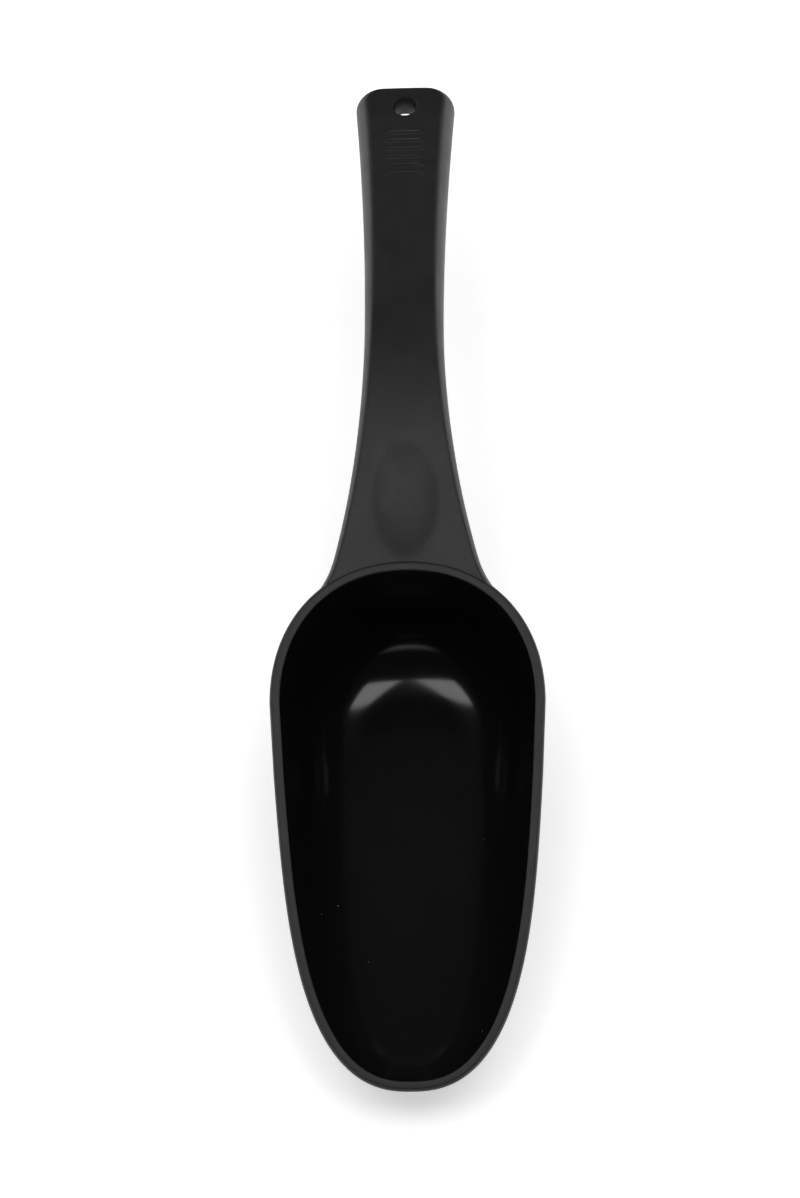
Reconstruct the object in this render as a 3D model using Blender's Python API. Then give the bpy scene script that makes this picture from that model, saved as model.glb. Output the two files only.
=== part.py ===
"""Hand scoop: a one-piece black plastic moulding with a deep bowl, a thumb rest and a hanging hole.

Units are metres, +Z is up and the tip of the bowl points along -Y. The shape is drawn in the frame of
the rim, then tilted by RIM_SLOPE and set down on the flat of the bowl's floor. In the rim's frame Y = 0
is the back of the bowl, +Y runs along the handle, -Y runs to the tip, and Z = 0 is the top of the rim.
"""

import bmesh
import bpy
import numpy as np
from math import cos, hypot, pi, radians, sin, sqrt, tan
from mathutils import Matrix, Vector

# Whole part
WALL = 0.0031
RIM_SLOPE = radians(15)  # rise of the rim from the tip to the handle

# Bowl
BOWL_LENGTH = 0.161
BOWL_WIDTH = 0.0838
BOWL_DEPTH = 0.050  # from the rim to the outside of the floor, at the floor's centre
WIDEST_FROM_BACK = 0.0438
BACK_SQUARENESS = 2.16  # 2 would be a plain ellipse
NOSE_SQUARENESS = 4.3
NOSE_BLUNTNESS = 2.45
SIDE_TAPER = 0.19  # share of the width that the sides lose on the way to the tip
SIDE_TAPER_EASE = 0.05  # share of the front part over which that taper starts
FLOOR_FROM_BACK = 0.062  # centre of the floor
FLOOR_SHARE = 0.42  # size of the flat floor, as a share of the rim's outline
WALL_FULLNESS = 2.4  # how far the floor's curve stays low before it turns up
WALL_STEEPNESS = 2.2  # how upright the wall ends at the rim
RIM_EDGE = 0.0012  # radius of the rim's outer edge

# Handle, measured along its top from the back of the bowl
HANDLE_LENGTH = 0.177
HANDLE_STRAIGHT = 0.036  # the stretch that keeps the rim's slope
HANDLE_BEND = 0.060  # the stretch that bends down after it
HANDLE_DROP = radians(25)  # how far it bends
HANDLE_STEP = 0.00025  # the handle's top is this far below the rim
GRIP_WIDTH = 0.0247
GRIP_FROM_END = 0.097  # place of the narrowest stretch
END_WIDTH = 0.0328
END_FLARE = 0.075  # how fast each side spreads at the end
END_CORNER = 0.0042
END_LIFT = 0.0010  # the top curls up by this much at the very end
END_LIFT_REACH = 0.014
ROOT_WIDTH = 0.0418
ROOT_FROM_BOWL = 0.006
ROOT_FLARE = 0.25  # how fast each side spreads at the root
FLARE_REACH = 0.0115  # how far the flare runs forward along the bowl
FLARE_TUCK = 0.0003  # how far inside the bowl's outline the flare ends
SHOULDER_AT_ROOT = 0.0022  # width of the rounding between the top and the side
SHOULDER_AT_END = 0.0050
SHOULDER_RISE = 1.5  # height of that rounding, as a multiple of its width
SHOULDER_LIMIT = 0.8  # most of the skirt's height that the rounding may take
SKIRT_AT_BOWL = 0.015
SKIRT_AT_END = 0.0088
SKIRT_REACH = 0.060  # where the skirt has come down to its height at the end
SKIRT_MEETS_BOWL = 0.005  # in front of the bowl's back; from here on the skirt fades out
RIB_THICKNESS = 0.0018
RIB_PITCH = 0.024
RIB_SETBACK = 0.0015  # how far the ribs stay inside the skirt's lower edge

# Thumb rest
THUMB_WIDTH = 0.0208
THUMB_LENGTH = 0.037
THUMB_DEPTH = 0.0022
THUMB_FROM_BOWL = 0.0195
THUMB_CROWN = 0.006  # height of the dish's centre of curvature over the handle

# Hanging hole
HOLE_DIAMETER = 0.0070
HOLE_ENTRY_FLARE = 0.00075  # how much wider the entry is, each side
HOLE_ENTRY_DEPTH = 0.0016
HOLE_END_GAP = 0.0035  # from the entry's edge to the handle's end
BOSS_WALL = 0.0024

# Fineness of the mesh
OUTLINE_POINTS = 72
WALL_RINGS = 10
EDGE_STEPS = 3
SHOULDER_STEPS = 4
STATIONS_PER_STRETCH = 6
ROUND_POINTS = 32
CUT_MARGIN = 0.002  # how far a cutter goes past the face that it cuts

RIM_PLANE_TO_FLOOR = tan(RIM_SLOPE)
FLOOR_CENTRE = Vector((0, -FLOOR_FROM_BACK))
GRIP_AT = HANDLE_LENGTH - GRIP_FROM_END
BEND_RADIUS = HANDLE_BEND / HANDLE_DROP
HOLE_AT = HANDLE_LENGTH - HOLE_END_GAP - HOLE_ENTRY_FLARE - HOLE_DIAMETER / 2


def clear_scene():
    for thing in list(bpy.data.objects):
        bpy.data.objects.remove(thing, do_unlink=True)


def new_collection(name):
    collection = bpy.data.collections.new(name)
    bpy.context.scene.collection.children.link(collection)
    return collection


def hermite(share, start, end, start_slope, end_slope):
    """Cubic from start to end; the slopes are per unit of share."""
    return (
        start * (2 * share**3 - 3 * share**2 + 1)
        + end * (3 * share**2 - 2 * share**3)
        + start_slope * (share**3 - 2 * share**2 + share)
        + end_slope * (share**3 - share**2)
    )


def loft(name, rings, collection):
    """Closed solid through rings that all have the same number of points."""
    count = len(rings[0])
    points = [point for ring in rings for point in ring]
    faces = []
    for row in range(len(rings) - 1):
        for i in range(count):
            j = (i + 1) % count
            faces.append((row * count + i, row * count + j, (row + 1) * count + j, (row + 1) * count + i))
    faces.append(tuple(reversed(range(count))))
    faces.append(tuple(range(len(points) - count, len(points))))
    mesh = bpy.data.meshes.new(name)
    mesh.from_pydata(points, [], faces)
    bm = bmesh.new()
    bm.from_mesh(mesh)
    bmesh.ops.recalc_face_normals(bm, faces=bm.faces)
    bm.to_mesh(mesh)
    bm.free()
    return add_object(name, mesh, collection)


def add_object(name, mesh, collection):
    thing = bpy.data.objects.new(name, mesh)
    collection.objects.link(thing)
    if collection is CUTTERS:
        thing.hide_render = True
        thing.display_type = "WIRE"
    return thing


def cutter(name, bm, place):
    """Turns the bmesh into a cutter object at place, and frees it."""
    bmesh.ops.transform(bm, matrix=place, verts=bm.verts)
    mesh = bpy.data.meshes.new(name)
    bm.to_mesh(mesh)
    bm.free()
    return add_object(name, mesh, CUTTERS)


def combine(target, tool, operation):
    """Applies one exact boolean to target."""
    modifier = target.modifiers.new(tool.name, "BOOLEAN")
    modifier.operation = operation
    modifier.solver = "EXACT"
    modifier.object = tool
    graph = bpy.context.evaluated_depsgraph_get()
    result = bpy.data.meshes.new_from_object(target.evaluated_get(graph))
    target.modifiers.clear()
    target.data = result


# Bowl


def bowl_outline():
    """Closed outline of the rim's outer edge, anticlockwise from the widest point on +X."""
    back = WIDEST_FROM_BACK
    front = BOWL_LENGTH - WIDEST_FROM_BACK
    points = []
    for i in range(OUTLINE_POINTS):
        angle = 2 * pi * i / OUTLINE_POINTS
        across, along = abs(cos(angle)), abs(sin(angle))
        if sin(angle) >= 0:
            x = across ** (2 / BACK_SQUARENESS)
            y = back * along ** (2 / BACK_SQUARENESS)
        else:
            share = along ** (2 / NOSE_SQUARENESS)
            taper = SIDE_TAPER * (hypot(share, SIDE_TAPER_EASE) - SIDE_TAPER_EASE)
            x = (1 - taper) * across ** (2 / NOSE_BLUNTNESS)
            y = -front * share
        side = 1 if cos(angle) >= 0 else -1
        points.append((side * x * BOWL_WIDTH / 2, y - back))
    return np.array(points)


def inset_outline(inset):
    """The rim's outline moved inwards by the same distance all round."""
    outline = bowl_outline()
    along = np.roll(outline, -1, axis=0) - np.roll(outline, 1, axis=0)
    along /= np.linalg.norm(along, axis=1)[:, None]
    inwards = np.stack([-along[:, 1], along[:, 0]], axis=1)
    return outline + inset * inwards


def floor_depth(y, inset):
    """Depth under the rim of a floor that lies parallel to the table."""
    return BOWL_DEPTH - inset / cos(RIM_SLOPE) + (y + FLOOR_FROM_BACK) * RIM_PLANE_TO_FLOOR


def bowl_ring(share, sink, inset):
    """The outline scaled about the floor's centre, at a share of the floor's depth."""
    centre = np.array(FLOOR_CENTRE)
    ring = centre + share * (inset_outline(inset) - centre)
    return [(x, y, -sink * floor_depth(y, inset)) for x, y in ring]


def wall_rings(inset):
    """Rings from the edge of the flat floor up to just under the rim."""
    rings = []
    for i in range(WALL_RINGS):
        angle = pi / 2 * i / WALL_RINGS
        share = FLOOR_SHARE + (1 - FLOOR_SHARE) * sin(angle) ** (2 / WALL_FULLNESS)
        rings.append(bowl_ring(share, cos(angle) ** (2 / WALL_STEEPNESS), inset))
    return rings


def flat_ring(inset, height):
    return [(x, y, height) for x, y in inset_outline(inset)]


def make_bowl(collection):
    """Outside up from the floor, over the rounded edge of the rim, and down the inside."""
    edge = []
    for i in range(EDGE_STEPS + 1):
        angle = pi / 2 * i / EDGE_STEPS
        edge.append(flat_ring(RIM_EDGE * (1 - cos(angle)), RIM_EDGE * (sin(angle) - 1)))
    inside = [flat_ring(WALL, 0)] + list(reversed(wall_rings(WALL)))
    return loft("scoop", wall_rings(0) + edge + inside, collection)


def make_bowl_filling():
    """Solid that cuts away whatever the handle has inside the middle of the bowl's wall."""
    lid = [flat_ring(WALL / 2, 0), flat_ring(WALL / 2, 2 * WALL)]
    return loft("bowl_filling", wall_rings(WALL / 2) + lid, CUTTERS)


# Handle


def path_frame(distance):
    """Place and slope of the handle's top at a distance from the back of the bowl."""
    straight = min(distance, HANDLE_STRAIGHT)
    turn = min(max(distance - HANDLE_STRAIGHT, 0), HANDLE_BEND) / BEND_RADIUS
    tail = max(distance - HANDLE_STRAIGHT - HANDLE_BEND, 0)
    lift = END_LIFT * max(0, 1 - (HANDLE_LENGTH - distance) / END_LIFT_REACH) ** 2
    y = straight + BEND_RADIUS * sin(turn) + tail * cos(turn)
    z = lift - HANDLE_STEP - BEND_RADIUS * (1 - cos(turn)) - tail * sin(turn)
    return Matrix.Translation((0, y, z)) @ Matrix.Rotation(-turn, 4, "X")


def flare_end():
    """Half width and spread of the bowl's outline where the handle's flare meets it."""
    quarter = inset_outline(FLARE_TUCK)[: OUTLINE_POINTS // 4 + 1]
    places = np.array([-WALL / 2, 0, WALL / 2]) - FLARE_REACH
    before, here, after = np.interp(places, quarter[:, 1], quarter[:, 0])
    return here, (before - after) / WALL


def half_width(distance):
    """The handle narrows from its flare to the grip, then widens to its end."""
    if distance >= GRIP_AT:
        span = HANDLE_LENGTH - GRIP_AT
        share = (distance - GRIP_AT) / span
        return hermite(share, GRIP_WIDTH / 2, END_WIDTH / 2, 0, END_FLARE * span)
    if distance >= ROOT_FROM_BOWL:
        span = GRIP_AT - ROOT_FROM_BOWL
        share = (distance - ROOT_FROM_BOWL) / span
        return hermite(share, ROOT_WIDTH / 2, GRIP_WIDTH / 2, -ROOT_FLARE * span, 0)
    width, spread = flare_end()
    span = ROOT_FROM_BOWL + FLARE_REACH
    share = (distance + FLARE_REACH) / span
    return hermite(share, width, ROOT_WIDTH / 2, -spread * span, -ROOT_FLARE * span)


def skirt_height(distance):
    """Deepest at the bowl, where it braces the handle; it fades out along the bowl's side."""
    if distance < -SKIRT_MEETS_BOWL:
        share = (distance + FLARE_REACH) / (FLARE_REACH - SKIRT_MEETS_BOWL)
        return WALL + (SKIRT_AT_BOWL - WALL) * share
    share = min(1, max(0, 1 - distance / SKIRT_REACH))
    return SKIRT_AT_END + (SKIRT_AT_BOWL - SKIRT_AT_END) * share**2


def shoulder_size(distance, inset):
    """Width and height of the elliptical rounding between the handle's top and its side."""
    share = min(1.0, max(0.0, distance / HANDLE_LENGTH))
    width = SHOULDER_AT_ROOT + (SHOULDER_AT_END - SHOULDER_AT_ROOT) * share
    height = min(SHOULDER_RISE * width, SHOULDER_LIMIT * skirt_height(distance))
    return max(width - inset, 0.0004), max(height - inset, 0.0004)


def handle_section(distance, inset, corner, extra_height):
    """Flat top, rounded shoulders and upright sides; corner takes the width in at the handle's end."""
    half = half_width(distance) - inset - corner
    width, height = shoulder_size(distance, inset)
    bottom = -skirt_height(distance) - extra_height
    right = [(half, bottom)]
    for i in range(SHOULDER_STEPS + 1):
        angle = pi / 2 * i / SHOULDER_STEPS
        right.append((half - width * (1 - cos(angle)), -inset - height * (1 - sin(angle))))
    left = [(-x, z) for x, z in reversed(right)]
    frame = path_frame(distance)
    return [tuple(frame @ Vector((x, 0, z))) for x, z in right + left]


def handle_stations(end):
    """Distances along the handle, closer together where it flares."""
    marks = [-FLARE_REACH, -SKIRT_MEETS_BOWL, ROOT_FROM_BOWL, (ROOT_FROM_BOWL + GRIP_AT) / 2, GRIP_AT]
    marks += [HANDLE_LENGTH - END_LIFT_REACH, end]
    stations = []
    for start, stop in zip(marks, marks[1:]):
        stations += list(np.linspace(start, stop, STATIONS_PER_STRETCH, endpoint=False))
    return stations


def handle_form(name, inset, extra_height, collection):
    """Handle with rounded end corners; with an inset it is the channel inside it."""
    corner = max(END_CORNER - inset, 0.0004)
    corner_start = HANDLE_LENGTH - inset - corner
    rings = [handle_section(place, inset, 0, extra_height) for place in handle_stations(corner_start)]
    for i in range(SHOULDER_STEPS + 1):
        angle = pi / 2 * i / SHOULDER_STEPS
        narrowing = corner * (1 - cos(angle))
        rings.append(handle_section(corner_start + corner * sin(angle), inset, narrowing, extra_height))
    return loft(name, rings, collection)


def dish(name, growth):
    """Ellipsoid of the thumb rest; growth thickens it to the outside of its wall."""
    height = THUMB_CROWN + THUMB_DEPTH
    spread = 1 / sqrt(1 - (THUMB_CROWN / height) ** 2)
    size = Vector((THUMB_WIDTH / 2 * spread, THUMB_LENGTH / 2 * spread, height)) + Vector((growth,) * 3)
    place = path_frame(THUMB_FROM_BOWL) @ Matrix.Translation((0, 0, THUMB_CROWN))
    bm = bmesh.new()
    bmesh.ops.create_uvsphere(bm, u_segments=ROUND_POINTS, v_segments=ROUND_POINTS, radius=1)
    return cutter(name, bm, place @ Matrix.Diagonal((*size, 1)))


def hole_cutter(name, profile):
    """Round solid on the hanging hole's axis; the profile pairs heights over the handle's top with radii."""
    place = path_frame(HOLE_AT)
    turns = [2 * pi * i / ROUND_POINTS for i in range(ROUND_POINTS)]
    rings = []
    for height, radius in profile:
        rings.append([tuple(place @ Vector((radius * cos(a), radius * sin(a), height))) for a in turns])
    return loft(name, rings, CUTTERS)


def make_rib(number, distance):
    """Wall across the channel, made wider than the channel so that it reaches both sides."""
    height = skirt_height(distance) - RIB_SETBACK
    place = path_frame(distance) @ Matrix.Translation((0, 0, -height / 2))
    size = (2 * half_width(distance), RIB_THICKNESS, height)
    bm = bmesh.new()
    bmesh.ops.create_cube(bm, size=1)
    return cutter(f"rib_{number}", bm, place @ Matrix.Diagonal((*size, 1)))


def rib_places():
    """Ribs at an even pitch between the thumb rest and the boss of the hole."""
    first = THUMB_FROM_BOWL + THUMB_LENGTH / 2 + RIB_THICKNESS
    last = HOLE_AT - HOLE_DIAMETER / 2 - BOSS_WALL - RIB_PITCH
    gaps = max(1, round((last - first) / RIB_PITCH))
    return np.linspace(first, last, gaps + 1)


def make_channel():
    """Hollow of the handle's underside, less the ribs, the boss and the back of the thumb rest."""
    channel = handle_form("channel", WALL, CUT_MARGIN, CUTTERS)
    for number, distance in enumerate(rib_places()):
        combine(channel, make_rib(number, distance), "DIFFERENCE")
    boss_radius = HOLE_DIAMETER / 2 + BOSS_WALL
    boss = hole_cutter("boss", [(RIB_SETBACK - SKIRT_AT_END, boss_radius), (0, boss_radius)])
    combine(channel, boss, "DIFFERENCE")
    combine(channel, dish("thumb_rest_back", WALL), "DIFFERENCE")
    return channel


def make_handle():
    handle = handle_form("handle", 0, 0, CUTTERS)
    combine(handle, make_channel(), "DIFFERENCE")
    combine(handle, make_bowl_filling(), "DIFFERENCE")
    return handle


def cut_hanging_hole(scoop):
    """Straight bore that opens as a cone at the handle's top."""
    radius = HOLE_DIAMETER / 2
    slant = HOLE_ENTRY_FLARE / HOLE_ENTRY_DEPTH
    profile = [
        (-SKIRT_AT_END - CUT_MARGIN, radius),
        (-HOLE_ENTRY_DEPTH, radius),
        (CUT_MARGIN, radius + slant * (HOLE_ENTRY_DEPTH + CUT_MARGIN)),
    ]
    combine(scoop, hole_cutter("hanging_hole", profile), "DIFFERENCE")


def black_plastic():
    material = bpy.data.materials.new("black_plastic")
    material.use_nodes = True
    shader = material.node_tree.nodes["Principled BSDF"]
    shader.inputs["Base Color"].default_value = (0.03, 0.03, 0.032, 1)
    shader.inputs["Roughness"].default_value = 0.5
    shader.inputs["Metallic"].default_value = 0.0
    return material


def set_down(scoop):
    """Tilts the rim's frame, puts the floor's flat on Z = 0 and centres the box on the Z axis."""
    scoop.rotation_euler.x = RIM_SLOPE
    tilt = Matrix.Rotation(RIM_SLOPE, 3, "X")
    corners = [tilt @ vertex.co for vertex in scoop.data.vertices]
    middle = (min(c.y for c in corners) + max(c.y for c in corners)) / 2
    scoop.location = (0, -middle, -min(c.z for c in corners))


def main():
    scoop = make_bowl(PART)
    combine(scoop, make_handle(), "UNION")
    combine(scoop, dish("thumb_rest", 0), "DIFFERENCE")
    cut_hanging_hole(scoop)
    scoop.data.materials.clear()
    scoop.data.materials.append(black_plastic())
    set_down(scoop)


clear_scene()
PART = new_collection("hand_scoop")
CUTTERS = new_collection("cutters")
main()
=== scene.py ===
"""Looks of the hand scoop: a finer model of the CAD part, its materials, and a pale studio around it.

The shape follows the same curves as the CAD part, with more points, small edge radii, a soft-edged thumb
rest and six plain bars. Units are metres. It is drawn in the frame of the rim (Y = 0 is the back of
the bowl, +Y runs along the handle, Z = 0 is the top of the rim) and then set down as the CAD part is.
"""

from math import cos, hypot, pi, radians, sin, sqrt, tan

import bmesh
import bpy
import numpy as np
from mathutils import Matrix, Vector


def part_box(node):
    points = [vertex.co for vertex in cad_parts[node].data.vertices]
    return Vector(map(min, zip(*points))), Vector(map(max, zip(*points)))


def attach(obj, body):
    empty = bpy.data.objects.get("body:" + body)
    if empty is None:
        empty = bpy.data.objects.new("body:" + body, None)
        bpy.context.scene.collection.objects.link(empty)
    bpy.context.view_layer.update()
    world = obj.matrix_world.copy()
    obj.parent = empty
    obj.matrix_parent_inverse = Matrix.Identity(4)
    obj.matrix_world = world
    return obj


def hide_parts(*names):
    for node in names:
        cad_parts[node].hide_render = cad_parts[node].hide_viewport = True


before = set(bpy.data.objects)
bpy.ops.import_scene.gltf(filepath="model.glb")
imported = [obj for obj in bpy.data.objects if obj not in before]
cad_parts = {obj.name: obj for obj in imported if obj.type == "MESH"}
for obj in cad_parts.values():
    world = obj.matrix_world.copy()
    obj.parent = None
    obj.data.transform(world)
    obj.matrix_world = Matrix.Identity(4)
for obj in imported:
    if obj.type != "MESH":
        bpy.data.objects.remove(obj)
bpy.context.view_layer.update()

# Whole part
WALL = 0.0031
RIM_SLOPE = radians(15)

# Bowl
BOWL_LENGTH = 0.161
BOWL_WIDTH = 0.0838
BOWL_DEPTH = 0.050
WIDEST_FROM_BACK = 0.0438
BACK_SQUARENESS = 2.16
NOSE_SQUARENESS = 4.3
NOSE_BLUNTNESS = 2.45
SIDE_TAPER = 0.19
SIDE_TAPER_EASE = 0.05
FLOOR_FROM_BACK = 0.062
FLOOR_SHARE = 0.42
WALL_FULLNESS = 2.4
WALL_STEEPNESS = 2.2
RIM_EDGE = 0.0012
RIM_INNER_EDGE = 0.0004

# Handle, measured along its top from the back of the bowl
HANDLE_LENGTH = 0.177
HANDLE_STRAIGHT = 0.036
HANDLE_BEND = 0.060
HANDLE_DROP = radians(25)
HANDLE_STEP = 0.00025
GRIP_WIDTH = 0.0247
GRIP_FROM_END = 0.097
END_WIDTH = 0.0328
END_FLARE = 0.075
END_CORNER = 0.0042
END_LIFT = 0.0010
END_LIFT_REACH = 0.014
END_BOW = 0.0005  # how far the corners of the end stand back from its middle
ROOT_WIDTH = 0.0418
ROOT_FROM_BOWL = 0.006
ROOT_FLARE = 0.25
FLARE_REACH = 0.0115
FLARE_TUCK = 0.0003
SHOULDER_AT_ROOT = 0.0022
SHOULDER_AT_END = 0.0050
SHOULDER_RISE = 1.5
SHOULDER_LIMIT = 0.8
SKIRT_AT_BOWL = 0.015
SKIRT_AT_END = 0.0088
SKIRT_REACH = 0.060
SKIRT_MEETS_BOWL = 0.005
SKIRT_EDGE = 0.0005  # radius of the skirt's lower outer edge
RIB_THICKNESS = 0.0018
RIB_PITCH = 0.024
RIB_SETBACK = 0.0015

# Thumb rest
THUMB_WIDTH = 0.0208
THUMB_LENGTH = 0.037
THUMB_DEPTH = 0.0022
THUMB_FROM_BOWL = 0.0195
THUMB_CROWN = 0.006
THUMB_SOFTNESS = 0.0005  # how gently the dish runs out into the handle's top

# Hanging hole
HOLE_DIAMETER = 0.0070
HOLE_ENTRY_FLARE = 0.00075
HOLE_ENTRY_DEPTH = 0.0016
HOLE_END_GAP = 0.0035
HOLE_EDGE = 0.0002  # radius of the entry's edge
BOSS_WALL = 0.0024

# Plain moulded bars where the handle carries its mark
BAR_COUNT = 6
BAR_PITCH = 0.0036
BAR_FROM_HOLE = 0.0115
BAR_HALF_LENGTH = 0.0052
BAR_HALF_WIDTH = 0.0007
BAR_DEPTH = 0.0003

# Fineness of the mesh
OUTLINE_POINTS = 224
FLOOR_RINGS = 12
WALL_RINGS = 60
FILLING_RINGS = 24
EDGE_STEPS = 6
SHOULDER_STEPS = 12
TOP_STEPS = 40
HANDLE_SPACING = 0.0012
FINE_SPACING = 0.0003
ROUND_POINTS = 72
CUT_MARGIN = 0.002
SMOOTH_UP_TO = radians(32)

# Surfaces
GRAIN_SIZE = 0.0005
GRAIN_CELL = 0.00042
GRAIN_DEPTH = 0.000040
SCRATCH_DEPTH = 0.000004
DUST_SPACING = 0.0045

# Camera and studio
CAMERA_AZIMUTH = radians(-4.37)
CAMERA_ELEVATION = radians(63.7)
CAMERA_ROLL = radians(-4.96)
CAMERA_DISTANCE = 1.1083
CAMERA_AIM = Vector((-0.0028, -0.0085, 0.0359))
CAMERA_LENS = 106.6
FLOOR_SIZE = 6.0
FLOOR_GLOW = 0.46
FLOOR_TONE = (0.86, 0.86, 0.86, 1)
FLOOR_ROUGHNESS = 0.9
BACKDROP_TOP = radians(12)
BACKDROP_FADE = 0.06  # half the height over which the walls turn into the ceiling
SIDE_WALLS = (0.35, 0.85)  # sideways share of the direction, where the side walls start and are full
SIDE_WALL_LIGHT = 4.2
END_WALL_LIGHT = 0.8
CEILING_LIGHT = 0.03
OVERHEAD_PLACE = (0, 0.7, 2.4)
OVERHEAD_SIZE = (2.6, 2.6)
OVERHEAD_LIGHT = 1.6
SOFTBOX_ASIDE = 0.44
SOFTBOX_FORWARD = 0.14
SOFTBOX_HEIGHT = 1.3
SOFTBOX_SIZE = (0.52, 0.66)
SOFTBOX_LIGHT = 3.2

RIM_PLANE_TO_FLOOR = tan(RIM_SLOPE)
FLOOR_CENTRE = np.array((0, -FLOOR_FROM_BACK))
GRIP_AT = HANDLE_LENGTH - GRIP_FROM_END
BEND_RADIUS = HANDLE_BEND / HANDLE_DROP
HOLE_AT = HANDLE_LENGTH - HOLE_END_GAP - HOLE_ENTRY_FLARE - HOLE_DIAMETER / 2
GRAINED, POLISHED = 0, 1


def hermite(share, start, end, start_slope, end_slope):
    """Cubic from start to end; the slopes are per unit of share."""
    return (
        start * (2 * share**3 - 3 * share**2 + 1)
        + end * (3 * share**2 - 2 * share**3)
        + start_slope * (share**3 - 2 * share**2 + share)
        + end_slope * (share**3 - share**2)
    )


def quarter(steps):
    return [pi / 2 * i / steps for i in range(steps + 1)]


def loft(name, rings):
    """Closed solid through rings that all have the same number of points."""
    count = len(rings[0])
    points = [point for ring in rings for point in ring]
    faces = []
    for row in range(len(rings) - 1):
        for i in range(count):
            j = (i + 1) % count
            faces.append((row * count + i, row * count + j, (row + 1) * count + j, (row + 1) * count + i))
    faces.append(tuple(reversed(range(count))))
    faces.append(tuple(range(len(points) - count, len(points))))
    mesh = bpy.data.meshes.new(name)
    mesh.from_pydata(points, [], faces)
    bm = bmesh.new()
    bm.from_mesh(mesh)
    bmesh.ops.recalc_face_normals(bm, faces=bm.faces)
    bm.to_mesh(mesh)
    bm.free()
    return add_object(name, mesh)


def add_object(name, mesh):
    thing = bpy.data.objects.new(name, mesh)
    bpy.context.scene.collection.objects.link(thing)
    return thing


def combine(target, tool, operation):
    """Applies one exact boolean to target and removes the tool."""
    modifier = target.modifiers.new(tool.name, "BOOLEAN")
    modifier.operation = operation
    modifier.solver = "EXACT"
    modifier.object = tool
    graph = bpy.context.evaluated_depsgraph_get()
    result = bpy.data.meshes.new_from_object(target.evaluated_get(graph))
    target.modifiers.clear()
    target.data = result
    bpy.data.objects.remove(tool, do_unlink=True)


# Bowl


def bowl_outline():
    """Closed outline of the rim's outer edge, anticlockwise from the widest point on +X."""
    back = WIDEST_FROM_BACK
    front = BOWL_LENGTH - WIDEST_FROM_BACK
    points = []
    for i in range(OUTLINE_POINTS):
        angle = 2 * pi * i / OUTLINE_POINTS
        across, along = abs(cos(angle)), abs(sin(angle))
        if sin(angle) >= 0:
            x = across ** (2 / BACK_SQUARENESS)
            y = back * along ** (2 / BACK_SQUARENESS)
        else:
            share = along ** (2 / NOSE_SQUARENESS)
            taper = SIDE_TAPER * (hypot(share, SIDE_TAPER_EASE) - SIDE_TAPER_EASE)
            x = (1 - taper) * across ** (2 / NOSE_BLUNTNESS)
            y = -front * share
        side = 1 if cos(angle) >= 0 else -1
        points.append((side * x * BOWL_WIDTH / 2, y - back))
    return np.array(points)


def inset_outline(inset):
    outline = bowl_outline()
    along = np.roll(outline, -1, axis=0) - np.roll(outline, 1, axis=0)
    along /= np.linalg.norm(along, axis=1)[:, None]
    inwards = np.stack([-along[:, 1], along[:, 0]], axis=1)
    return outline + inset * inwards


def floor_depth(y, inset):
    """Depth under the rim of a floor that lies parallel to the table."""
    return BOWL_DEPTH - inset / cos(RIM_SLOPE) + (y + FLOOR_FROM_BACK) * RIM_PLANE_TO_FLOOR


def wall_rings(inset, count):
    """Rings over the flat floor and up the wall to just under the rim."""
    steps = [(FLOOR_SHARE * i / FLOOR_RINGS, 1) for i in range(1, FLOOR_RINGS)]
    for i in range(count):
        angle = pi / 2 * i / count
        share = FLOOR_SHARE + (1 - FLOOR_SHARE) * sin(angle) ** (2 / WALL_FULLNESS)
        steps.append((share, cos(angle) ** (2 / WALL_STEEPNESS)))
    outline = inset_outline(inset)
    rings = []
    for share, sink in steps:
        ring = FLOOR_CENTRE + share * (outline - FLOOR_CENTRE)
        rings.append([(x, y, -sink * floor_depth(y, inset)) for x, y in ring])
    return rings


def flat_ring(inset, height):
    return [(x, y, height) for x, y in inset_outline(inset)]


def make_bowl():
    """Outside up from the floor, over both rounded edges of the rim, and down the inside."""
    rings = wall_rings(0, WALL_RINGS)
    for angle in quarter(EDGE_STEPS):
        rings.append(flat_ring(RIM_EDGE * (1 - cos(angle)), RIM_EDGE * (sin(angle) - 1)))
    for angle in quarter(EDGE_STEPS):
        inset = WALL - RIM_INNER_EDGE * (1 - sin(angle))
        rings.append(flat_ring(inset, RIM_INNER_EDGE * (cos(angle) - 1)))
    inside_from = (len(rings) - 1) * OUTLINE_POINTS
    rings += reversed(wall_rings(WALL, WALL_RINGS))
    bowl = loft("hand_scoop", rings)
    for face in bowl.data.polygons:
        if min(face.vertices) >= inside_from:
            face.material_index = POLISHED
    return bowl


def make_bowl_filling():
    """Solid that cuts away whatever the handle has inside the middle of the bowl's wall."""
    lid = [flat_ring(WALL / 2, 0), flat_ring(WALL / 2, 2 * WALL)]
    return loft("bowl_filling", wall_rings(WALL / 2, FILLING_RINGS) + lid)


# Handle


def path_frame(distance):
    """Place and slope of the handle's top at a distance from the back of the bowl."""
    straight = min(distance, HANDLE_STRAIGHT)
    turn = min(max(distance - HANDLE_STRAIGHT, 0), HANDLE_BEND) / BEND_RADIUS
    tail = max(distance - HANDLE_STRAIGHT - HANDLE_BEND, 0)
    lift = END_LIFT * max(0, 1 - (HANDLE_LENGTH - distance) / END_LIFT_REACH) ** 2
    y = straight + BEND_RADIUS * sin(turn) + tail * cos(turn)
    z = lift - HANDLE_STEP - BEND_RADIUS * (1 - cos(turn)) - tail * sin(turn)
    return Matrix.Translation((0, y, z)) @ Matrix.Rotation(-turn, 4, "X")


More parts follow.
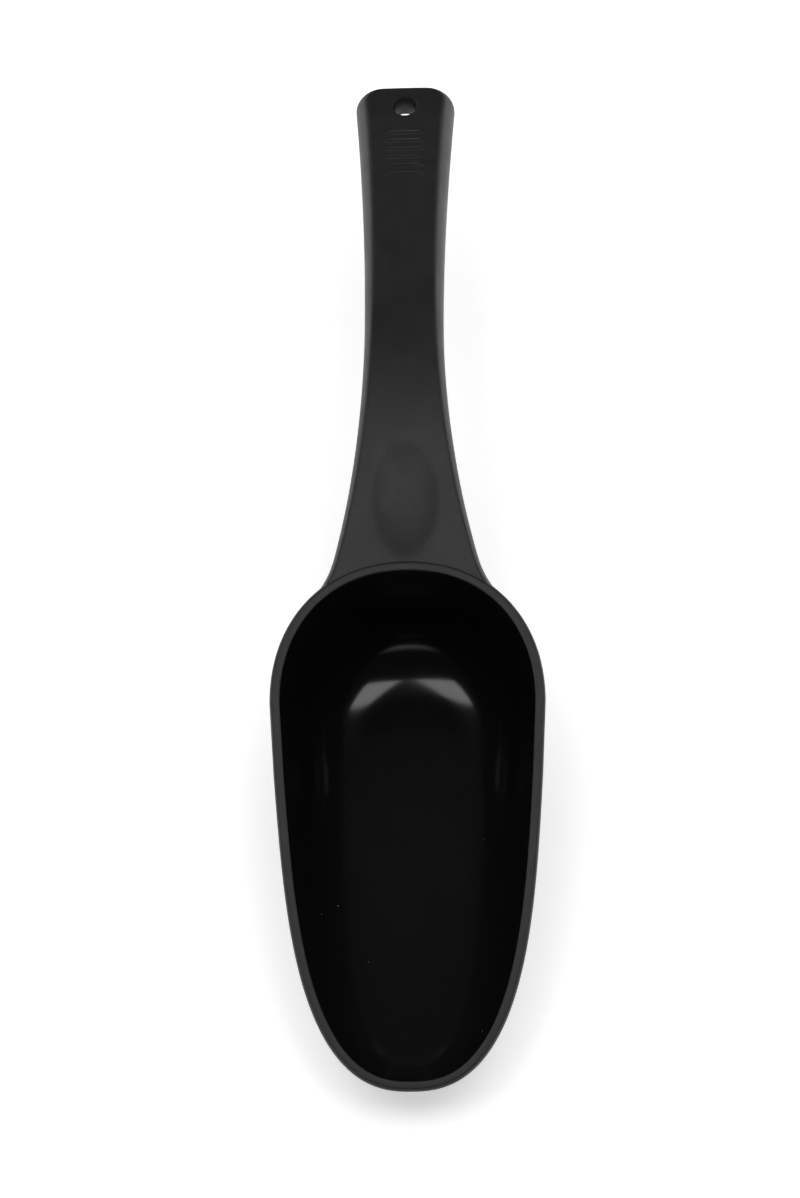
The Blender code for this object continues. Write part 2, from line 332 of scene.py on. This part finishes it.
def flare_end():
    """Half width and spread of the bowl's outline where the handle's flare meets it."""
    side = inset_outline(FLARE_TUCK)[: OUTLINE_POINTS // 4 + 1]
    places = np.array([-WALL / 2, 0, WALL / 2]) - FLARE_REACH
    before, here, after = np.interp(places, side[:, 1], side[:, 0])
    return here, (before - after) / WALL


FLARE_END = flare_end()


def half_width(distance):
    """The handle narrows from its flare to the grip, then widens to its end."""
    if distance >= GRIP_AT:
        span = HANDLE_LENGTH - GRIP_AT
        share = (distance - GRIP_AT) / span
        return hermite(share, GRIP_WIDTH / 2, END_WIDTH / 2, 0, END_FLARE * span)
    if distance >= ROOT_FROM_BOWL:
        span = GRIP_AT - ROOT_FROM_BOWL
        share = (distance - ROOT_FROM_BOWL) / span
        return hermite(share, ROOT_WIDTH / 2, GRIP_WIDTH / 2, -ROOT_FLARE * span, 0)
    width, spread = FLARE_END
    span = ROOT_FROM_BOWL + FLARE_REACH
    share = (distance + FLARE_REACH) / span
    return hermite(share, width, ROOT_WIDTH / 2, -spread * span, -ROOT_FLARE * span)


def skirt_height(distance):
    """Deepest at the bowl, where it braces the handle; it fades out along the bowl's side."""
    if distance < -SKIRT_MEETS_BOWL:
        share = (distance + FLARE_REACH) / (FLARE_REACH - SKIRT_MEETS_BOWL)
        return WALL + (SKIRT_AT_BOWL - WALL) * share
    share = min(1, max(0, 1 - distance / SKIRT_REACH))
    return SKIRT_AT_END + (SKIRT_AT_BOWL - SKIRT_AT_END) * share**2


def shoulder_size(distance, inset):
    """Width and height of the elliptical rounding between the handle's top and its side."""
    share = min(1.0, max(0.0, distance / HANDLE_LENGTH))
    width = SHOULDER_AT_ROOT + (SHOULDER_AT_END - SHOULDER_AT_ROOT) * share
    height = min(SHOULDER_RISE * width, SHOULDER_LIMIT * skirt_height(distance))
    return max(width - inset, 0.0004), max(height - inset, 0.0004)


def thumb_depth(x, distance):
    """Depth of the thumb rest: a part of an ellipsoid with a soft edge."""
    height = THUMB_CROWN + THUMB_DEPTH
    spread = 1 / sqrt(1 - (THUMB_CROWN / height) ** 2)
    across = x / (THUMB_WIDTH / 2 * spread)
    along = (distance - THUMB_FROM_BOWL) / (THUMB_LENGTH / 2 * spread)
    under = height * sqrt(max(0, 1 - across**2 - along**2)) - THUMB_CROWN
    at_rim = hypot(THUMB_CROWN, THUMB_SOFTNESS) - THUMB_CROWN
    return max(0, (under + hypot(under, THUMB_SOFTNESS) - at_rim) / 2)


def bar_depth(x, distance):
    """Depth of the row of short bars in front of the hanging hole."""
    place = (HOLE_AT - BAR_FROM_HOLE - distance) / BAR_PITCH
    number = min(BAR_COUNT - 1, max(0, round(place)))
    off_centre = hypot(max(0, abs(x) - BAR_HALF_LENGTH), (place - number) * BAR_PITCH)
    if off_centre >= BAR_HALF_WIDTH:
        return 0
    return BAR_DEPTH * (1 - (off_centre / BAR_HALF_WIDTH) ** 2)


def shoulder_points(half, bottom, size):
    """One side of the handle's section, from the skirt's lower edge up to the flat of the top."""
    width, height = size
    points = []
    for angle in quarter(3):
        points.append((half - SKIRT_EDGE * (1 - sin(angle)), bottom + SKIRT_EDGE * (1 - cos(angle))))
    for angle in quarter(SHOULDER_STEPS):
        points.append((half - width * (1 - cos(angle)), -height * (1 - sin(angle))))
    return points


def handle_section(distance, corner):
    """Top with its thumb rest and bars, shoulders and skirts; corner takes the width in at the end."""
    half = half_width(distance) - corner
    right = shoulder_points(half, -skirt_height(distance), shoulder_size(distance, 0))
    left = [(-x, z) for x, z in reversed(right)]
    top = []
    for x in np.linspace(right[-1][0], left[0][0], TOP_STEPS + 1)[1:-1]:
        top.append((x, -thumb_depth(x, distance) - bar_depth(x, distance)))
    near_end = max(0, 1 - (HANDLE_LENGTH - distance) / END_LIFT_REACH)
    place = path_frame(distance)
    section = []
    for x, z in right + top + left:
        back = END_BOW * (near_end * x / (END_WIDTH / 2)) ** 2
        section.append(tuple(place @ Vector((x, -back, z))))
    return section


def handle_stations(end):
    """Distances along the handle, closest together over the bars."""
    bars_end = HOLE_AT - BAR_FROM_HOLE + BAR_HALF_WIDTH
    bars_start = bars_end - 2 * BAR_HALF_WIDTH - (BAR_COUNT - 1) * BAR_PITCH
    stretches = [
        (-FLARE_REACH, -SKIRT_MEETS_BOWL, HANDLE_SPACING),
        (-SKIRT_MEETS_BOWL, bars_start, HANDLE_SPACING),
        (bars_start, bars_end, FINE_SPACING),
        (bars_end, end, HANDLE_SPACING),
    ]
    stations = []
    for start, stop, spacing in stretches:
        count = max(1, round((stop - start) / spacing))
        stations += list(np.linspace(start, stop, count, endpoint=False))
    return stations


def make_handle_form():
    corner_start = HANDLE_LENGTH - END_CORNER
    rings = [handle_section(place, 0) for place in handle_stations(corner_start)]
    for angle in quarter(SHOULDER_STEPS):
        narrowing = END_CORNER * (1 - cos(angle))
        rings.append(handle_section(corner_start + END_CORNER * sin(angle), narrowing))
    return loft("handle", rings)


def channel_section(distance, corner):
    half = half_width(distance) - WALL - corner
    width, height = shoulder_size(distance, WALL)
    right = [(half, -skirt_height(distance) - CUT_MARGIN)]
    for angle in quarter(SHOULDER_STEPS // 2):
        right.append((half - width * (1 - cos(angle)), -WALL - height * (1 - sin(angle))))
    left = [(-x, z) for x, z in reversed(right)]
    place = path_frame(distance)
    return [tuple(place @ Vector((x, 0, z))) for x, z in right + left]


def make_channel():
    """Hollow of the handle's underside, less the ribs, the boss and the back of the thumb rest."""
    corner = max(END_CORNER - WALL, 0.0004)
    corner_start = HANDLE_LENGTH - WALL - corner
    count = round((corner_start + FLARE_REACH) / (2 * HANDLE_SPACING))
    places = np.linspace(-FLARE_REACH, corner_start, count, endpoint=False)
    rings = [channel_section(place, 0) for place in places]
    for angle in quarter(4):
        rings.append(channel_section(corner_start + corner * sin(angle), corner * (1 - cos(angle))))
    channel = loft("channel", rings)
    for distance in rib_places():
        combine(channel, make_rib(distance), "DIFFERENCE")
    boss_radius = HOLE_DIAMETER / 2 + BOSS_WALL
    boss = hole_cutter("boss", [(RIB_SETBACK - SKIRT_AT_END, boss_radius), (0, boss_radius)])
    combine(channel, boss, "DIFFERENCE")
    combine(channel, thumb_rest_back(), "DIFFERENCE")
    return channel


def rib_places():
    first = THUMB_FROM_BOWL + THUMB_LENGTH / 2 + RIB_THICKNESS
    last = HOLE_AT - HOLE_DIAMETER / 2 - BOSS_WALL - RIB_PITCH
    gaps = max(1, round((last - first) / RIB_PITCH))
    return np.linspace(first, last, gaps + 1)


def make_rib(distance):
    height = skirt_height(distance) - RIB_SETBACK
    place = path_frame(distance) @ Matrix.Translation((0, 0, -height / 2))
    bm = bmesh.new()
    bmesh.ops.create_cube(bm, size=1)
    size = (2 * half_width(distance), RIB_THICKNESS, height, 1)
    return shaped("rib", bm, place @ Matrix.Diagonal(size))


def thumb_rest_back():
    height = THUMB_CROWN + THUMB_DEPTH
    spread = 1 / sqrt(1 - (THUMB_CROWN / height) ** 2)
    size = (THUMB_WIDTH / 2 * spread + WALL, THUMB_LENGTH / 2 * spread + WALL, height + WALL, 1)
    place = path_frame(THUMB_FROM_BOWL) @ Matrix.Translation((0, 0, THUMB_CROWN))
    bm = bmesh.new()
    bmesh.ops.create_uvsphere(bm, u_segments=ROUND_POINTS, v_segments=ROUND_POINTS // 2, radius=1)
    return shaped("thumb_rest_back", bm, place @ Matrix.Diagonal(size))


def shaped(name, bm, place):
    bmesh.ops.transform(bm, matrix=place, verts=bm.verts)
    mesh = bpy.data.meshes.new(name)
    bm.to_mesh(mesh)
    bm.free()
    return add_object(name, mesh)


def hole_cutter(name, profile):
    """Round solid on the hanging hole's axis; the profile pairs heights over the handle's top with radii."""
    place = path_frame(HOLE_AT)
    turns = [2 * pi * i / ROUND_POINTS for i in range(ROUND_POINTS)]
    rings = []
    for height, radius in profile:
        rings.append([tuple(place @ Vector((radius * cos(a), radius * sin(a), height))) for a in turns])
    return loft(name, rings)


def cut_hanging_hole(scoop):
    """Straight bore, a cone above it, and a small radius where the cone opens at the handle's top."""
    radius = HOLE_DIAMETER / 2
    profile = [(-SKIRT_AT_END - CUT_MARGIN, radius), (-HOLE_ENTRY_DEPTH, radius)]
    for angle in quarter(4):
        height = -HOLE_EDGE * (1 - sin(angle))
        profile.append((height, radius + HOLE_ENTRY_FLARE - HOLE_EDGE * cos(angle)))
    profile.append((CUT_MARGIN, radius + HOLE_ENTRY_FLARE))
    combine(scoop, hole_cutter("hanging_hole", profile), "DIFFERENCE")


def make_scoop():
    handle = make_handle_form()
    combine(handle, make_channel(), "DIFFERENCE")
    combine(handle, make_bowl_filling(), "DIFFERENCE")
    scoop = make_bowl()
    scoop.data.materials.append(grained_plastic())
    scoop.data.materials.append(polished_plastic())
    handle.data.materials.append(scoop.data.materials[GRAINED])
    combine(scoop, handle, "UNION")
    cut_hanging_hole(scoop)
    return scoop


def set_down(scoop):
    """Tilts the rim's frame and fits the finer mesh, under 0.1 mm too long, to the box of the CAD part."""
    scoop.data.transform(Matrix.Rotation(RIM_SLOPE, 4, "X"))
    corners = np.array([vertex.co for vertex in scoop.data.vertices])
    low, high = Vector(corners.min(axis=0)), Vector(corners.max(axis=0))
    cad_low, cad_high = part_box("scoop")
    sizes = [(cad_high[axis] - cad_low[axis]) / (high[axis] - low[axis]) for axis in range(3)]
    fit = Matrix.Diagonal((*sizes, 1))
    scoop.data.transform(Matrix.Translation(cad_low) @ fit @ Matrix.Translation(-low))


def smooth(thing):
    """Smooth shading that keeps the creases between faces that meet at a clear angle."""
    bm = bmesh.new()
    bm.from_mesh(thing.data)
    for face in bm.faces:
        face.smooth = True
    for edge in bm.edges:
        edge.smooth = len(edge.link_faces) == 2 and edge.calc_face_angle() < SMOOTH_UP_TO
    bm.to_mesh(thing.data)
    bm.free()


# Materials


class Nodes:
    """Short ways to add nodes to one material and link them."""

    def __init__(self, name):
        self.material = bpy.data.materials.new(name)
        self.material.use_nodes = True
        self.tree = self.material.node_tree
        self.shader = self.tree.nodes["Principled BSDF"]
        self.place = self.tree.nodes.new("ShaderNodeTexCoord").outputs["Object"]

    def add(self, kind, **settings):
        node = self.tree.nodes.new(kind)
        for name, value in settings.items():
            setattr(node, name, value)
        return node

    def put(self, value, socket):
        if isinstance(value, bpy.types.NodeSocket):
            self.tree.links.new(value, socket)
        else:
            socket.default_value = value

    def stretched(self, scale, turn=0.0):
        mapping = self.add("ShaderNodeMapping")
        self.put(self.place, mapping.inputs["Vector"])
        self.put((0, 0, turn), mapping.inputs["Rotation"])
        self.put(scale, mapping.inputs["Scale"])
        return mapping.outputs["Vector"]

    def noise(self, size, detail=2.0, place=None):
        """Noise whose features are about size metres across."""
        node = self.add("ShaderNodeTexNoise")
        self.put(place or self.place, node.inputs["Vector"])
        self.put(1 / size, node.inputs["Scale"])
        self.put(detail, node.inputs["Detail"])
        return node.outputs["Fac"]

    def cells(self, size):
        """Distance to the nearest cell point, and that cell's random colour."""
        node = self.add("ShaderNodeTexVoronoi")
        self.put(self.place, node.inputs["Vector"])
        self.put(1 / size, node.inputs["Scale"])
        return node.outputs["Distance"], node.outputs["Color"]

    def remap(self, value, low, high, to_low, to_high):
        node = self.add("ShaderNodeMapRange", clamp=True)
        self.put(value, node.inputs["Value"])
        for name, number in zip(("From Min", "From Max", "To Min", "To Max"), (low, high, to_low, to_high)):
            self.put(number, node.inputs[name])
        return node.outputs["Result"]

    def math(self, operation, first, second):
        node = self.add("ShaderNodeMath", operation=operation)
        self.put(first, node.inputs[0])
        self.put(second, node.inputs[1])
        return node.outputs["Value"]

    def mix(self, share, first, second):
        node = self.add("ShaderNodeMix", data_type="RGBA")
        self.put(share, node.inputs["Factor"])
        self.put(first, node.inputs["A"])
        self.put(second, node.inputs["B"])
        return node.outputs["Result"]

    def bump(self, height, depth, under=None):
        """Bump with a depth in metres; under is the bump below it."""
        node = self.add("ShaderNodeBump")
        self.put(depth, node.inputs["Distance"])
        self.put(height, node.inputs["Height"])
        if under is not None:
            self.put(under, node.inputs["Normal"])
        return node.outputs["Normal"]


def grained_plastic():
    """Black plastic with a fine moulded grain that breaks up its reflections."""
    nodes = Nodes("grained_black_plastic")
    cell_distance, _ = nodes.cells(GRAIN_CELL)
    grain = nodes.math("ADD", nodes.noise(GRAIN_SIZE, 3.0), cell_distance)
    cloud = nodes.noise(0.009, 4.0)
    colour = nodes.mix(cloud, (0.006, 0.006, 0.0063, 1), (0.009, 0.009, 0.0093, 1))
    nodes.put(colour, nodes.shader.inputs["Base Color"])
    nodes.put(nodes.remap(cloud, 0.3, 0.7, 0.44, 0.52), nodes.shader.inputs["Roughness"])
    wave = nodes.bump(nodes.noise(0.004, 2.0), 0.00001)
    nodes.put(nodes.bump(grain, GRAIN_DEPTH, wave), nodes.shader.inputs["Normal"])
    return nodes.material


def polished_plastic():
    """The same plastic polished inside the bowl, with hairline scratches and specks of dust."""
    nodes = Nodes("polished_black_plastic")
    scratches = None
    for turn, along in ((0.35, 30), (-0.9, 40), (1.4, 26)):
        lines = nodes.noise(1.0, 2.0, nodes.stretched((3600, along, 200), turn))
        line = nodes.remap(lines, 0.74, 0.80, 0.0, 1.0)
        scratches = line if scratches is None else nodes.math("MAXIMUM", scratches, line)
    distance, choice = nodes.cells(DUST_SPACING)
    picked = nodes.remap(choice, 0.80, 0.82, 0.0, 1.0)
    specks = nodes.math("MULTIPLY", nodes.remap(distance, 0.022, 0.045, 1.0, 0.0), picked)
    colour = nodes.mix(specks, (0.0045, 0.0045, 0.005, 1), (0.35, 0.34, 0.32, 1))
    nodes.put(colour, nodes.shader.inputs["Base Color"])
    haze = nodes.remap(nodes.noise(0.02, 3.0), 0.3, 0.7, 0.13, 0.17)
    rough = nodes.math("ADD", haze, nodes.math("MULTIPLY", scratches, 0.12))
    rough = nodes.math("ADD", rough, nodes.math("MULTIPLY", specks, 0.5))
    nodes.put(rough, nodes.shader.inputs["Roughness"])
    ripple = nodes.bump(nodes.noise(0.0012, 3.0), 0.0000022)
    nodes.put(nodes.bump(scratches, -SCRATCH_DEPTH, ripple), nodes.shader.inputs["Normal"])
    return nodes.material


# Studio


def make_floor():
    half = FLOOR_SIZE / 2
    mesh = bpy.data.meshes.new("floor")
    corners = [(-half, -half, 0), (half, -half, 0), (half, half, 0), (-half, half, 0)]
    mesh.from_pydata(corners, [], [(0, 1, 2, 3)])
    floor = add_object("floor", mesh)
    material = bpy.data.materials.new("pale_floor")
    material.use_nodes = True
    shader = material.node_tree.nodes["Principled BSDF"]
    shader.inputs["Base Color"].default_value = FLOOR_TONE
    shader.inputs["Roughness"].default_value = FLOOR_ROUGHNESS
    shader.inputs["Specular IOR Level"].default_value = 0.0
    shader.inputs["Emission Color"].default_value = (1, 1, 1, 1)
    shader.inputs["Emission Strength"].default_value = FLOOR_GLOW
    mesh.materials.append(material)


def area_light(name, place, aim, size, radiance):
    """Rectangular softbox of a size at a place, turned towards aim."""
    data = bpy.data.lights.new(name, "AREA")
    data.shape = "RECTANGLE"
    data.size, data.size_y = size
    data.energy = pi * size[0] * size[1] * radiance
    light = bpy.data.objects.new(name, data)
    light.location = place
    light.rotation_euler = (Vector(aim) - Vector(place)).to_track_quat("-Z", "Y").to_euler()
    bpy.context.scene.collection.objects.link(light)
    return light


def fade(tree, value, low, high, to_low, to_high):
    """Maps a value between low and high to a value between to_low and to_high."""
    node = tree.nodes.new("ShaderNodeMapRange")
    tree.links.new(value, node.inputs["Value"])
    for name, number in zip(("From Min", "From Max", "To Min", "To Max"), (low, high, to_low, to_high)):
        node.inputs[name].default_value = number
    return node.outputs["Result"]


def make_world():
    """Pale side walls up to the height of a backdrop, dimmer walls in front and behind, a dark ceiling."""
    world = bpy.data.worlds.new("studio")
    world.use_nodes = True
    tree = world.node_tree
    place = tree.nodes.new("ShaderNodeTexCoord")
    axes = tree.nodes.new("ShaderNodeSeparateXYZ")
    sideways = tree.nodes.new("ShaderNodeMath")
    sideways.operation = "ABSOLUTE"
    strength = tree.nodes.new("ShaderNodeMix")
    tree.links.new(place.outputs["Generated"], axes.inputs["Vector"])
    tree.links.new(axes.outputs["X"], sideways.inputs[0])
    wall = fade(tree, sideways.outputs["Value"], *SIDE_WALLS, END_WALL_LIGHT, SIDE_WALL_LIGHT)
    low, high = sin(BACKDROP_TOP) - BACKDROP_FADE, sin(BACKDROP_TOP) + BACKDROP_FADE
    tree.links.new(fade(tree, axes.outputs["Z"], low, high, 0, 1), strength.inputs["Factor"])
    tree.links.new(wall, strength.inputs["A"])
    strength.inputs["B"].default_value = CEILING_LIGHT
    tree.links.new(strength.outputs["Result"], tree.nodes["Background"].inputs["Strength"])
    tree.nodes["Background"].inputs["Color"].default_value = (1, 1, 1, 1)
    bpy.context.scene.world = world


def make_lights():
    """A wide light that leaves no highlights, and a pair of softboxes that do."""
    overhead = area_light("overhead", OVERHEAD_PLACE, (0, 0, 0), OVERHEAD_SIZE, OVERHEAD_LIGHT)
    overhead.visible_glossy = False
    for side in (-1, 1):
        place = (side * SOFTBOX_ASIDE, -SOFTBOX_FORWARD, SOFTBOX_HEIGHT)
        area_light("softbox", place, (0, 0, 0), SOFTBOX_SIZE, SOFTBOX_LIGHT)


def make_camera():
    turn, height = CAMERA_AZIMUTH, CAMERA_ELEVATION
    look = Vector((sin(turn) * cos(height), cos(turn) * cos(height), -sin(height)))
    level = Vector((cos(turn), -sin(turn), 0))
    above = level.cross(look)
    right = cos(CAMERA_ROLL) * level + sin(CAMERA_ROLL) * above
    up = cos(CAMERA_ROLL) * above - sin(CAMERA_ROLL) * level
    data = bpy.data.cameras.new("camera")
    data.lens = CAMERA_LENS
    camera = bpy.data.objects.new("camera", data)
    camera.matrix_world = Matrix.Translation(CAMERA_AIM - CAMERA_DISTANCE * look) @ Matrix(
        (right, up, -look)
    ).transposed().to_4x4()
    bpy.context.scene.collection.objects.link(camera)
    bpy.context.scene.camera = camera


scoop = make_scoop()
set_down(scoop)
smooth(scoop)
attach(scoop, "root")
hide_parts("scoop")
make_floor()
make_world()
make_lights()
make_camera()
bpy.context.scene.view_settings.view_transform = "Standard"
